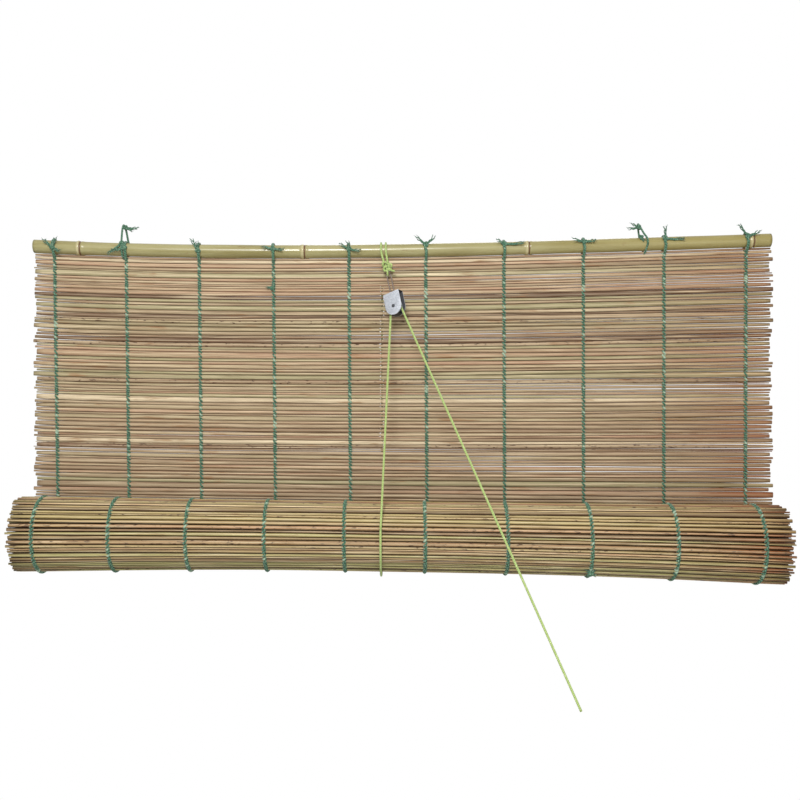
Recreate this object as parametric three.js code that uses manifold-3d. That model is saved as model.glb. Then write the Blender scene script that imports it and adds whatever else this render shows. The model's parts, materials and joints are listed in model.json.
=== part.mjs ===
// A cord-operated roll-up reed blind, millimetres, +Z up, room side -Y, wall side +Y.
// Origin: midway between the bearing points of the two twine loops that hang the blind on its nails.
import * as THREE from "three";
import { mergeVertices } from "three/addons/utils/BufferGeometryUtils.js";
import Module from "manifold-3d";

const wasm = await Module();
wasm.setup();

// ---- driving dimensions ----
const LOOP_SPAN = 696; // between the two hanging loops
const LOOP_STEP = 2.7; // how much higher the right loop bears
const POLE_LEFT = 469; // pole end to origin, left
const POLE_RIGHT = 524; // pole end to origin, right
const POLE_RADIUS = 9;
const POLE_BORE = 5; // open hollow at each cut end
const POLE_DROP_LEFT = 23.6; // pole axis below the origin at the left end
const POLE_DROP_RIGHT = 15.4;
const POLE_SAG = 10;
const POLE_SAG_SKEW = 0.4; // the sag leans towards the left end
const BAMBOO_NODE_FIRST = 59; // first bamboo node from the left end
const BAMBOO_NODE_PITCH = 302;
const BAMBOO_NODE_SWELL = 1.1;
const BAMBOO_NODE_REACH = 5; // length of the swelling on each side of a node

const REED = 3.8; // reed thickness
const REED_PITCH = 4.7;
const REEDS_LEFT = 468; // reed end to origin, left
const REEDS_RIGHT = 526;
const BAND_COUNT = 7; // the hanging mat is lashed in this many bands
const TWINE = 1.2; // twine thickness
const TWINE_WIDTH = 2.8;
const WARP_COUNT = 10; // twine columns
const WARP_FIRST = -441.5;
const WARP_PITCH = 96.6;
const WARP_GROWTH = 1.75; // each spacing is this much wider than the last

const ROLL_DROP = 408; // roll axis below the origin, mid length
const ROLL_TILT = 6.65; // how far the axis falls from mid length to the right end
const ROLL_RADIUS = 48.5; // mid length
const ROLL_TAPER = 1.3; // right end minus mean of the ends
const ROLL_FLARE = 3; // ends are looser than the middle
const ROLL_LEFT = 470;
const ROLL_RIGHT = 519;
const LAYER_PITCH = 5;
const RING_CREEP = 0.013; // a ring lies this share nearer mid length than its column
const RING_SHIFT = -2.2;
const RING_GAP = 0.6; // twine rings clear the strip's facets, which stand off its curve
const ROLL_EYE = 11; // radius of the free space left at the core
const CORE_RADIUS = 7;

const CORD = 2.8; // lift cord diameter
const LIFT_X = 0; // the lift cord hangs midway between the loops

const BLOCK_TILT = -12; // degrees about Y: the bottom goes right
const BLOCK_LEAN = -18; // degrees about X: the bottom comes forward
const BLOCK_YAW = -28; // degrees about the block's own length
const BAIL_WIRE = 0.8; // radius
const BAIL_WIDTH = 6;
const BAIL_LENGTH = 29;
const BAIL_FOOT = 2.4; // bent out under the bridge on each side
const CHEEK_WIDTH = 24.4;
const CHEEK_HEIGHT = 30;
const PIN_DROP = 1.8; // pin below the centre of the cheeks' round feet
const BLOCK_DEPTH = 11.5;
const SHEET = 0.9; // cheek metal
const SHEAVE_RADIUS = 9.4;
const GROOVE_RADIUS = 6.4;
const SHEAVE_WIDTH = 7.4;
const PIN_RADIUS = 1.6;
const RIVET_HEAD = 0.9; // how far a rivet head stands out past the pin
const RIVET_FIT = 0.05;
const RUNNING_GAP = 0.3;
const TOUCH_GAP = 0.3;

const ENTRY_TURN = 40; // degrees of the roll's lower back that the band being wound covers

const deg = Math.PI / 180;
const ENTRY_ANGLE = ENTRY_TURN * deg;
const V = (x, y, z) => new THREE.Vector3(x, y, z);
const lerp = (a, b, t) => a + (b - a) * t;

// ---- curves of the whole blind ----
const poleMid = (POLE_RIGHT - POLE_LEFT) / 2;
const poleHalf = (POLE_RIGHT + POLE_LEFT) / 2;
function poleZ(x) {
  const u = (x - poleMid) / poleHalf;
  const chord = lerp(-POLE_DROP_LEFT, -POLE_DROP_RIGHT, (u + 1) / 2);
  return chord - POLE_SAG * (1 - u * u) * (1 - POLE_SAG_SKEW * u);
}

const rollMid = (ROLL_RIGHT - ROLL_LEFT) / 2;
const rollHalf = (ROLL_RIGHT + ROLL_LEFT) / 2;
const along = (x) => (x - rollMid) / rollHalf;
const rollRadius = (x) => ROLL_RADIUS + ROLL_TAPER * along(x) + ROLL_FLARE * along(x) ** 2;
const axisZ = (x) => -ROLL_DROP - ROLL_TILT * along(x);
// The band being wound runs outside the twine rings, with its middle in the hanging mat's plane.
const entryRadius = (x) =>
  ROLL_RADIUS + ROLL_FLARE + ROLL_TAPER * along(x) + RING_GAP + TWINE + REED / 2 + TOUCH_GAP;
const axisY = (x) => -entryRadius(x);

const warpX = (i) => WARP_FIRST + WARP_PITCH * i + (WARP_GROWTH * i * (i - 1)) / 2;
const ringX = (i) => warpX(i) * (1 - RING_CREEP) + RING_SHIFT;
const firstReedDrop = POLE_RADIUS + BAMBOO_NODE_SWELL + TOUCH_GAP + REED / 2; // its axis below the pole's
const tieDrop = firstReedDrop + REED / 2 + TOUCH_GAP; // inside of a tie, under the first reed
// A column clears the mat's edges by more than the straight facets of the bent bands stand off their curve.
const COLUMN_GAP = 2 * TOUCH_GAP;
// Under the ties lie the columns' top turns, and at the hitch the lift cord's turns.
const underTies = Math.max(2 * TWINE + COLUMN_GAP, CORD) + TOUCH_GAP;
const matTop = (x) => poleZ(x) - tieDrop - underTies;
const matBottom = (x) => axisZ(x) + TWINE + COLUMN_GAP + TOUCH_GAP;

// ---- geometry helpers ----
// A YZ outline swept along X from x0 to x1, then moved by place(x, y, z).
function sweepX(shape, x0, x1, steps, place, curveSegments = 6) {
  const g = new THREE.ExtrudeGeometry(shape, {
    depth: x1 - x0,
    steps,
    bevelEnabled: false,
    curveSegments,
  });
  const p = g.getAttribute("position");
  for (let i = 0; i < p.count; i++) {
    // the outline's own x is world Y and its y is world Z
    const [x, y, z] = place(x0 + p.getZ(i), p.getX(i), p.getY(i));
    p.setXYZ(i, x, y, z);
  }
  return g;
}

// A round cord or wire along a curve.
function cordAlong(curve, radius, steps, sides = 8) {
  const section = new THREE.Shape();
  for (let i = 0; i < sides; i++) {
    const a = (i / sides) * 2 * Math.PI;
    section[i ? "lineTo" : "moveTo"](radius * Math.cos(a), radius * Math.sin(a));
  }
  section.closePath();
  return new THREE.ExtrudeGeometry(section, { extrudePath: curve, steps, bevelEnabled: false });
}

// The outline round circles [radius, height] that stand one above another on the Z axis, top first.
function roundOutline(target, circles) {
  const leanTo = ([r, z], i) => -Math.asin((circles[i][0] - r) / (circles[i][1] - z));
  const leans = circles.slice(1).map(leanTo);
  const last = circles.length - 1;
  const arc = (i, from, to) => target.absarc(0, circles[i][1], circles[i][0], from, to, false);
  arc(last, Math.PI - leans[last - 1], 2 * Math.PI + leans[last - 1]);
  for (let i = last - 1; i > 0; i--) arc(i, leans[i], leans[i - 1]);
  arc(0, leans[0], Math.PI - leans[0]);
  for (let i = 1; i < last; i++) arc(i, Math.PI - leans[i - 1], Math.PI - leans[i]);
  target.closePath();
  return target;
}

// A band of twine or cord round such circles, t thick and w wide, centred at x.
// Its circles are measured from baseZ.
function bandRound(x, w, t, circles, baseZ) {
  const shape = roundOutline(new THREE.Shape(), circles.map(([r, z]) => [r + t, z]));
  shape.holes.push(roundOutline(new THREE.Path(), circles));
  return sweepX(shape, x - w / 2, x + w / 2, 1, (px, y, z) => [px, y, z + baseZ]);
}

function solidOf(geometry) {
  const g = geometry.index ? geometry.toNonIndexed() : geometry.clone();
  g.deleteAttribute("normal");
  g.deleteAttribute("uv");
  const merged = mergeVertices(g, 1e-4);
  return new wasm.Manifold(
    new wasm.Mesh({
      numProp: 3,
      vertProperties: merged.getAttribute("position").array,
      triVerts: new Uint32Array(merged.index.array),
    }),
  );
}

function geometryOf(solid) {
  const mesh = solid.getMesh();
  const g = new THREE.BufferGeometry();
  g.setAttribute("position", new THREE.BufferAttribute(new Float32Array(mesh.vertProperties), 3));
  g.setIndex(new THREE.BufferAttribute(new Uint32Array(mesh.triVerts), 1));
  g.computeVertexNormals();
  return g;
}

const join = (...parts) => geometryOf(parts.map(solidOf).reduce((all, one) => all.add(one)));
const cut = (body, ...tools) =>
  geometryOf(tools.map(solidOf).reduce((left, tool) => left.subtract(tool), solidOf(body)));

const part = new THREE.Group();
function add(parent, name, geometry, colour, roughness = 0.8, metalness = 0) {
  const material = new THREE.MeshStandardMaterial({ color: colour, roughness, metalness });
  const mesh = new THREE.Mesh(geometry, material);
  mesh.name = name;
  parent.add(mesh);
  return mesh;
}
const numbered = (name, i) => `${name}_${String(i + 1).padStart(2, "0")}`;

const BAMBOO = 0xa8a465;
const REED_TAN = 0xb39a76;
const TWINE_GREEN = 0x4b7a5c;
const CORD_LIME = 0xb4dd6e;
const STEEL = 0xb9bec6;

// ---- head pole: bamboo, hollow as far as the last node at each cut end ----
function headPole() {
  const length = POLE_LEFT + POLE_RIGHT;
  const swells = [];
  for (let at = BAMBOO_NODE_FIRST; at < length - 2 * POLE_RADIUS; at += BAMBOO_NODE_PITCH) {
    swells.push(at);
  }
  const leftBore = swells[0] - BAMBOO_NODE_REACH;
  const rightBore = length - swells[swells.length - 1] - BAMBOO_NODE_REACH;
  const outline = [V(0, leftBore), V(POLE_BORE, leftBore), V(POLE_BORE, 0), V(POLE_RADIUS, 0)];
  for (const at of swells) {
    outline.push(V(POLE_RADIUS, at - BAMBOO_NODE_REACH), V(POLE_RADIUS + BAMBOO_NODE_SWELL, at - 1));
    outline.push(V(POLE_RADIUS - TOUCH_GAP, at + 1), V(POLE_RADIUS, at + BAMBOO_NODE_REACH));
    for (const share of [0.25, 0.5, 0.75]) outline.push(V(POLE_RADIUS, at + share * BAMBOO_NODE_PITCH));
  }
  const profile = outline.filter((p) => p.y < length - POLE_RADIUS);
  profile.push(V(POLE_RADIUS, length), V(POLE_BORE, length));
  profile.push(V(POLE_BORE, length - rightBore), V(0, length - rightBore));
  const g = new THREE.LatheGeometry(profile.map((p) => new THREE.Vector2(p.x, p.y)), 16);
  g.rotateZ(-Math.PI / 2);
  g.translate(-POLE_LEFT, 0, 0);
  const p = g.getAttribute("position");
  for (let i = 0; i < p.count; i++) p.setZ(i, p.getZ(i) + poleZ(p.getX(i)));
  return g;
}
add(part, "head_pole", headPole(), BAMBOO, 0.45);

// ---- the mat's first reed and the ties that lash it to the pole ----
const disc = (r) => {
  const s = new THREE.Shape();
  s.absarc(0, 0, r, 0, 2 * Math.PI, false);
  return s;
};
add(
  part,
  "first_reed",
  sweepX(disc(REED / 2), -REEDS_LEFT, REEDS_RIGHT, 8, (x, y, z) => [x, y, z + poleZ(x) - firstReedDrop], 4),
  REED_TAN,
);
// What every tie goes round: the pole, and the first reed under it.
const poleAndReed = [
  [POLE_RADIUS + BAMBOO_NODE_SWELL + TOUCH_GAP, 0],
  [REED / 2 + TOUCH_GAP, -firstReedDrop],
];
for (let i = 0; i < WARP_COUNT; i++) {
  const x = warpX(i);
  const tie = bandRound(x, TWINE_WIDTH, TWINE, poleAndReed, poleZ(x));
  add(part, numbered("pole_tie", i), tie, TWINE_GREEN, 0.9);
}

// ---- hanging loops: twine round the pole and up to each nail ----
const NAIL_RADIUS = 1.8;
const LOOP_KNOT = 2.6; // radius
function hangingLoop(x, bearingZ) {
  const base = poleZ(x);
  const bend = [NAIL_RADIUS, bearingZ - base - NAIL_RADIUS];
  const band = bandRound(x, 2 * TWINE, TWINE, [bend, ...poleAndReed], base);
  const knot = new THREE.IcosahedronGeometry(LOOP_KNOT, 1);
  knot.translate(x, -0.6 * POLE_RADIUS, base + POLE_RADIUS + TWINE + LOOP_KNOT);
  return join(band, knot);
}
add(part, "hanging_loop_left", hangingLoop(-LOOP_SPAN / 2, -LOOP_STEP / 2), TWINE_GREEN, 0.9);
add(part, "hanging_loop_right", hangingLoop(LOOP_SPAN / 2, LOOP_STEP / 2), TWINE_GREEN, 0.9);

// ---- the hanging mat: bands of reeds lashed side by side ----
const bandGap = TOUCH_GAP / (poleZ(0) + ROLL_DROP); // as a share of the mat's height
function reedBand(index) {
  const reeds = Math.round((matTop(poleMid) - matBottom(poleMid)) / REED_PITCH / BAND_COUNT);
  const top = index / BAND_COUNT + bandGap / 2;
  const bottom = (index + 1) / BAND_COUNT - bandGap / 2;
  const shape = new THREE.Shape();
  const valley = REED * 0.2;
  const level = (k) => -lerp(top, bottom, k / (2 * reeds));
  shape.moveTo(-valley, level(0));
  for (let k = 1; k <= 2 * reeds; k++) shape.lineTo(k % 2 ? -REED / 2 : -valley, level(k));
  for (let k = 2 * reeds; k >= 0; k--) shape.lineTo(k % 2 ? REED / 2 : valley, level(k));
  shape.closePath();
  const place = (x, y, t) => [x, y, lerp(matTop(x), matBottom(x), -t)];
  return sweepX(shape, -REEDS_LEFT, REEDS_RIGHT, 6, place);
}
for (let i = 0; i < BAND_COUNT; i++) add(part, numbered("reed_band", i), reedBand(i), REED_TAN);

// ---- twine columns: each wraps the hanging mat front and back ----
function warpColumn(x) {
  const face = REED / 2 + TOUCH_GAP;
  const top = matTop(x) + COLUMN_GAP;
  const bottom = matBottom(x) - COLUMN_GAP;
  const frame = (target, t) => {
    target.moveTo(-face - t, bottom - t);
    target.lineTo(face + t, bottom - t);
    target.lineTo(face + t, top + t);
    target.lineTo(-face - t, top + t);
    target.closePath();
    return target;
  };
  const shape = frame(new THREE.Shape(), TWINE);
  shape.holes.push(frame(new THREE.Path(), 0));
  return sweepX(shape, x - TWINE_WIDTH / 2, x + TWINE_WIDTH / 2, 1, (px, y, z) => [px, y, z]);
}
for (let i = 0; i < WARP_COUNT; i++) {
  add(part, numbered("warp_twine", i), warpColumn(warpX(i)), TWINE_GREEN, 0.9);
}

// ---- the roll ----
// Points turn about the roll's axis from the wall side (angle 0) down, forward and up.
const onRoll = (x, r, a) => [axisY(x) + r * Math.cos(a), axisZ(x) - r * Math.sin(a)];
const SPIRAL_STEPS = 14; // per turn
const turns = (ROLL_RADIUS - REED / 2 - ROLL_EYE) / LAYER_PITCH;
const layerRadius = (a) => ROLL_RADIUS - REED / 2 - (LAYER_PITCH * a) / (2 * Math.PI);

// An outline between two radii, in polar form, wound onto the roll at every x.
function woundStrip(x0, x1, steps, a0, a1, count, inner, outer, swell) {
  const shape = new THREE.Shape();
  const angleOf = (i) => lerp(a0, a1, i / count);
  const point = (r, a, step) => shape[step](r * Math.cos(a), -r * Math.sin(a));
  for (let i = 0; i <= count; i++) point(outer(angleOf(i)), angleOf(i), i ? "lineTo" : "moveTo");
  for (let i = count; i >= 0; i--) point(inner(angleOf(i)), angleOf(i), "lineTo");
  shape.closePath();
  return sweepX(shape, x0, x1, steps, (x, y, z) => [x, axisY(x) + y * swell(x), axisZ(x) + z * swell(x)]);
}

const looseness = (x) => rollRadius(x) / ROLL_RADIUS;
add(
  part,
  "rolled_mat",
  woundStrip(
    -ROLL_LEFT,
    ROLL_RIGHT,
    4,
    0,
    turns * 2 * Math.PI,
    Math.round(turns * SPIRAL_STEPS),
    (a) => layerRadius(a) - REED / 2,
    (a) => layerRadius(a) + REED / 2,
    looseness,
  ),
  REED_TAN,
);
for (let i = 0; i < WARP_COUNT; i++) {
  const x = ringX(i);
  const g = woundStrip(
    x - TWINE_WIDTH / 2,
    x + TWINE_WIDTH / 2,
    1,
    (2 * Math.PI) / SPIRAL_STEPS,
    2 * Math.PI - (2 * Math.PI) / SPIRAL_STEPS,
    SPIRAL_STEPS - 2,
    (a) => layerRadius(a) + REED / 2 + RING_GAP,
    (a) => layerRadius(a) + REED / 2 + RING_GAP + TWINE,
    () => looseness(x),
  );
  add(part, numbered("roll_twine", i), g, TWINE_GREEN, 0.9);
}
add(
  part,
  "core_slat",
  sweepX(disc(CORE_RADIUS), -ROLL_LEFT, ROLL_RIGHT, 1, (x, y, z) => [x, axisY(x) + y, axisZ(x) + z]),
  BAMBOO,
  0.5,
);

// The band being wound on: from the hanging mat's foot round the lower back of the roll.
function entryOutline() {
  const r = entryRadius(rollMid);
  const flats = 5;
  const shape = new THREE.Shape();
  const edge = (offset, i, first) => {
    const a = (i / flats) * ENTRY_ANGLE;
    shape[first ? "moveTo" : "lineTo"]((r + offset) * Math.cos(a) - r, -(r + offset) * Math.sin(a));
  };
  for (let i = 0; i <= flats; i++) edge(REED / 2, i, i === 0);
  for (let i = flats; i >= 0; i--) edge(-REED / 2, i, false);
  shape.closePath();
  return shape;
}
add(
  part,
  "entry_band",
  sweepX(entryOutline(), -REEDS_LEFT, REEDS_RIGHT, 4, (x, y, z) => [x, y, axisZ(x) + z - TOUCH_GAP]),
  REED_TAN,
);

// ---- pulley block: hung by its wire bail from the cord hitch on the pole ----
const cordRadius = CORD / 2;
const hitchZ = poleZ(LIFT_X) - tieDrop - CORD; // under the hitch's turns
const EYE_PLAY = 1.1; // free space in the cord eye beyond the bail wire
const knotCentre = V(LIFT_X + 6.5, -POLE_RADIUS - 3, hitchZ - 4.6);
const KNOT_HALF = [7, 4.4, 8.8];
const pivot = V(LIFT_X + 8.8, -POLE_RADIUS - 2.5, hitchZ - 15);
const block = new THREE.Group();
block.position.copy(pivot);
block.rotation.set(BLOCK_LEAN * deg, BLOCK_TILT * deg, BLOCK_YAW * deg, "YXZ");
part.add(block);
block.updateMatrixWorld(true);

const bridgeTop = -BAIL_LENGTH; // top face of the block, below the bail's top
const pinZ = bridgeTop - CHEEK_HEIGHT + CHEEK_WIDTH / 2 - PIN_DROP;

function bailWire() {
  const half = BAIL_WIDTH / 2;
  const foot = bridgeTop - SHEET - TOUCH_GAP - BAIL_WIRE;
  const points = [V(-half - BAIL_FOOT, 0, foot), V(-half - BAIL_WIRE, 0, foot)];
  points.push(V(-half, 0, foot + 1.8 * BAIL_WIRE), V(-half, 0, lerp(foot, 0, 0.3)));
  points.push(V(-half, 0, lerp(foot, 0, 0.8)), V(-half, 0, -half));
  const left = [...points];
  for (const a of [135 * deg, 90 * deg, 45 * deg]) {
    points.push(V(half * Math.cos(a), 0, -half + half * Math.sin(a)));
  }
  for (const p of left.reverse()) points.push(V(-p.x, p.y, p.z));
  return cordAlong(new THREE.CatmullRomCurve3(points, false, "centripetal"), BAIL_WIRE, 44, 6);
}
add(block, "bail_wire", bailWire(), STEEL, 0.35, 0.9);

// One strap of sheet bent over the sheave: two cheeks with round feet and the bridge that joins them.
function blockShell() {
  const half = CHEEK_WIDTH / 2;
  const cheek = new THREE.Shape();
  cheek.moveTo(-half, bridgeTop);
  cheek.lineTo(-half, pinZ);
  cheek.absarc(0, pinZ, half, Math.PI, 2 * Math.PI, false);
  cheek.lineTo(half, bridgeTop);
  cheek.closePath();
  const outside = { depth: BLOCK_DEPTH, bevelEnabled: false, curveSegments: 10 };
  const strap = new THREE.ExtrudeGeometry(cheek, outside);
  strap.rotateX(Math.PI / 2).translate(0, BLOCK_DEPTH / 2, 0);
  const inside = new THREE.BoxGeometry(2 * CHEEK_WIDTH, BLOCK_DEPTH - 2 * SHEET, CHEEK_HEIGHT);
  inside.translate(0, 0, bridgeTop - SHEET - CHEEK_HEIGHT / 2);
  const drill = (r, length, sides) => new THREE.CylinderGeometry(r, r, length, sides);
  const bailHole = (x) =>
    drill(BAIL_WIRE + TOUCH_GAP, 4 * SHEET, 12).rotateX(Math.PI / 2).translate(x, 0, bridgeTop);
  const pinHole = drill(PIN_RADIUS + RIVET_FIT, 2 * BLOCK_DEPTH, 16).translate(0, 0, pinZ);
  return cut(strap, inside, bailHole(-BAIL_WIDTH / 2), bailHole(BAIL_WIDTH / 2), pinHole);
}
add(block, "block_shell", blockShell(), STEEL, 0.5, 0.85);

// Rivet: a shank with a head outside each cheek.
function blockRivet() {
  const face = BLOCK_DEPTH / 2 + RIVET_FIT;
  const crown = face + RIVET_HEAD;
  const outline = [
    [0, -crown],
    [PIN_RADIUS + RIVET_HEAD / 2, -crown],
    [PIN_RADIUS + RIVET_HEAD, -face],
    [PIN_RADIUS, -face],
    [PIN_RADIUS, face],
    [PIN_RADIUS + RIVET_HEAD, face],
    [PIN_RADIUS + RIVET_HEAD / 2, crown],
    [0, crown],
  ];
  const g = new THREE.LatheGeometry(outline.map(([r, y]) => new THREE.Vector2(r, y)), 16);
  return g.translate(0, 0, pinZ);
}
add(block, "block_rivet", blockRivet(), STEEL, 0.4, 0.9);

function grooveSheave() {
  const half = SHEAVE_WIDTH / 2;
  const rim = half - SHEET;
  const bed = 0.85 * cordRadius; // half width of the groove's bottom
  const bore = PIN_RADIUS + RUNNING_GAP;
  const outline = [
    [bore, -half],
    [SHEAVE_RADIUS, -half],
    [SHEAVE_RADIUS, -rim],
    [GROOVE_RADIUS, -bed],
    [GROOVE_RADIUS, bed],
    [SHEAVE_RADIUS, rim],
    [SHEAVE_RADIUS, half],
    [bore, half],
    [bore, -half],
  ];
  const g = new THREE.LatheGeometry(outline.map(([r, y]) => new THREE.Vector2(r, y)), 20);
  return g.translate(0, 0, pinZ);
}
add(block, "sheave", grooveSheave(), 0x8d9299, 0.4, 0.8);

// ---- lift cord: hitch on the pole, down behind the mat, under the roll, up over the sheave ----
const cordTrack = GROOVE_RADIUS + cordRadius + TOUCH_GAP; // cord's middle, round the sheave
const OVER_START = 8 * deg; // below the sheave's widest point on each side
const onSheave = (a) => V(cordTrack * Math.cos(a), 0, pinZ + cordTrack * Math.sin(a));

function cordOverSheave() {
  const points = [];
  for (let i = 0; i <= 12; i++) points.push(onSheave(lerp(-OVER_START, Math.PI + OVER_START, i / 12)));
  return cordAlong(new THREE.CatmullRomCurve3(points), cordRadius, 20, 6);
}
add(block, "sheave_cord", cordOverSheave(), CORD_LIME, 0.7);
// The straight runs meet the wrapped cord at a slight angle, so their ends stand a little further off.
const cordLeaves = (a) => {
  const end = onSheave(a);
  const heading = V(-Math.sin(a), 0, Math.cos(a)).multiplyScalar(a < 0 ? -1 : 1);
  return block.localToWorld(end.addScaledVector(heading, TOUCH_GAP + 0.6 * cordRadius));
};
const tailStart = cordLeaves(-OVER_START);
const fallStart = cordLeaves(Math.PI + OVER_START);

// The pull tail is held straight, forward and to the right.
const TAIL_END = V(216, -304, -561);
const tailCurve = new THREE.CatmullRomCurve3(
  Array.from({ length: 16 }, (_, i) => tailStart.clone().lerp(TAIL_END, i / 15)),
);
const tail = cordAlong(tailCurve, cordRadius, 60, 8);
add(part, "pull_tail", tail, CORD_LIME, 0.7);

// The cord's middle from the roll's axis: over the reeds in front, outside the entry band behind.
const frontTrack = rollRadius(LIFT_X) + cordRadius + RING_GAP + TOUCH_GAP;
const backTrack = entryRadius(LIFT_X) + REED / 2 + cordRadius + TOUCH_GAP;
const towards = Math.atan2(fallStart.z - axisZ(LIFT_X), fallStart.y - axisY(LIFT_X));
const reach = Math.hypot(fallStart.z - axisZ(LIFT_X), fallStart.y - axisY(LIFT_X));
const wrapEnd = 2 * Math.PI - (towards + Math.acos(frontTrack / reach)); // where the fall leaves the roll
function slingTrack(a) {
  const t = THREE.MathUtils.smoothstep(a, ENTRY_ANGLE, ENTRY_ANGLE + 75 * deg);
  return lerp(backTrack, frontTrack, t);
}
const slingPoint = (a) => V(LIFT_X, ...onRoll(LIFT_X, slingTrack(a), a));
const slingCurve = new THREE.CatmullRomCurve3(
  Array.from({ length: 25 }, (_, i) => slingPoint(lerp(0, wrapEnd, i / 24))),
);
add(part, "roll_sling", cordAlong(slingCurve, cordRadius, 36, 8), CORD_LIME, 0.7);

const fallEnd = slingPoint(wrapEnd);
const fallLine = fallEnd.clone().sub(fallStart).normalize();
const frontFall = new THREE.LineCurve3(fallStart, fallEnd.addScaledVector(fallLine, -TOUCH_GAP));
add(part, "front_fall", cordAlong(frontFall, cordRadius, 1, 8), CORD_LIME, 0.7);

const rearY = slingPoint(0).y;
const rearTop = poleZ(LIFT_X) - tieDrop - CORD - TOUCH_GAP;
const rearFoot = axisZ(LIFT_X) + TOUCH_GAP;
const rearFall = new THREE.LineCurve3(V(LIFT_X, rearY, rearTop), V(LIFT_X, rearY, rearFoot));
add(part, "rear_fall", cordAlong(rearFall, cordRadius, 1, 8), CORD_LIME, 0.7);

// Two turns round the pole, the knot in front of the mat and the small eye that the bail hangs in.
// The eye's foot passes under the bail's arch.
function cordHitch() {
  const turn = (x) => bandRound(x, CORD, CORD, poleAndReed, poleZ(x));
  const knot = new THREE.SphereGeometry(1, 12, 8).scale(...KNOT_HALF);
  knot.translate(knotCentre.x, knotCentre.y, knotCentre.z);
  const neck = new THREE.BoxGeometry(3 * CORD, 2 * CORD, 3 * CORD);
  neck.translate(LIFT_X + 4, -POLE_RADIUS, hitchZ + 1.5 * CORD);
  const eye = new THREE.TorusGeometry(BAIL_WIRE + EYE_PLAY + cordRadius / 2, cordRadius / 2, 8, 16);
  eye.rotateY(Math.PI / 2).rotateZ(BLOCK_YAW * deg);
  eye.translate(pivot.x, pivot.y, pivot.z + EYE_PLAY - 2 * TOUCH_GAP);
  return join(turn(LIFT_X - 1), turn(LIFT_X + 5), knot, neck, eye);
}
add(part, "cord_hitch", cordHitch(), CORD_LIME, 0.7);

export default part;
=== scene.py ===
"""A cord-operated roll-up reed blind.

Reeds lashed with green twine hang from a bamboo pole. A lime cord over a pulley block rolls them up.
Metres, +Z up, the room on the -Y side. The model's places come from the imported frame.
"""
import json
import math

import bmesh
import bpy
import numpy as np
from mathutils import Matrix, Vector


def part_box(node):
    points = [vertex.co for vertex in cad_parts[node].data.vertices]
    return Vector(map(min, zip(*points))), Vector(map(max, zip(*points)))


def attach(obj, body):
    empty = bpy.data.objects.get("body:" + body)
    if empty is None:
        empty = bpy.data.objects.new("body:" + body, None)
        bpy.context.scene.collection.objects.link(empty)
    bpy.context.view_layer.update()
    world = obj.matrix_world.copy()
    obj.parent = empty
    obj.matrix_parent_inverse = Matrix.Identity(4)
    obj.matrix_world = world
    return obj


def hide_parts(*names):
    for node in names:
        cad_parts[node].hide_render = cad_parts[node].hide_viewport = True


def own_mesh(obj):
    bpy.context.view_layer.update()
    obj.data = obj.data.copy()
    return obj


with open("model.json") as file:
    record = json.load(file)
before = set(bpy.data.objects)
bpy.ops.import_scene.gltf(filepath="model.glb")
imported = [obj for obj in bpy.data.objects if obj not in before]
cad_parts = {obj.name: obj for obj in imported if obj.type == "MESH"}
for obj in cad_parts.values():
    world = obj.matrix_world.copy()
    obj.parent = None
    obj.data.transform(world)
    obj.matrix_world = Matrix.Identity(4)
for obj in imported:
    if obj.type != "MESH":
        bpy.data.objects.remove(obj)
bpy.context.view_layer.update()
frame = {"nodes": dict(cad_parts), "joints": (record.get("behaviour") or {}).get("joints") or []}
random = np.random.default_rng(41)
MM = 0.001


# ---- places read from the frame ----
def low(node):
    return np.array(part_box(node)[0], float)


def high(node):
    return np.array(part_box(node)[1], float)


def middle(node):
    return (low(node) + high(node)) / 2


def joint(name):
    return next(j for j in frame["joints"] if j["name"] == name)


def numbered(name, count):
    return [f"{name}_{i + 1:02d}" for i in range(count)]


WARPS = 10
TIES = numbered("pole_tie", WARPS)
COLUMNS = numbered("warp_twine", WARPS)
RINGS = numbered("roll_twine", WARPS)
BANDS = numbered("reed_band", 7)

REED = 3.8 * MM
REED_PITCH = 4.7 * MM
LAYER_PITCH = 5 * MM
TWINE_STRAND = 1.4 * MM  # radius of one strand
CORD_RADIUS = 1.4 * MM
POLE_RADIUS = 9 * MM

# A tie reaches as far above the pole's axis as it does behind it.
warp_x = np.array([middle(n)[0] for n in TIES])
pole_fit = np.polyfit(warp_x, [high(n)[2] - high(n)[1] for n in TIES], 3)
POLE_LEFT, POLE_RIGHT = low("head_pole")[0], high("head_pole")[0]
MAT_LEFT, MAT_RIGHT = low("first_reed")[0], high("first_reed")[0]
ROLL_LEFT, ROLL_RIGHT = low("rolled_mat")[0], high("rolled_mat")[0]

turn = joint("roll_turn")
turn_point, turn_axis = np.array(turn["pos_m"]), np.array(turn["axis"])


def pole_z(x):
    return np.polyval(pole_fit, x)


def axis_at(x):
    """The roll's axis at x, as rows of points."""
    x = np.asarray(x, float)
    return turn_point + np.multiply.outer((x - turn_point[0]) / turn_axis[0], turn_axis)


RING_OVER = 1.8 * MM  # a twine ring stands this far over the reeds
ring_x = np.array([middle(n)[0] for n in RINGS])
front_reach = [axis_at(x)[1] - low(n)[1] + LAYER_PITCH / 2 - RING_OVER for x, n in zip(ring_x, RINGS)]
radius_fit = np.polyfit(ring_x, front_reach, 2)


def roll_radius(x):
    return np.polyval(radius_fit, x)


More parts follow.
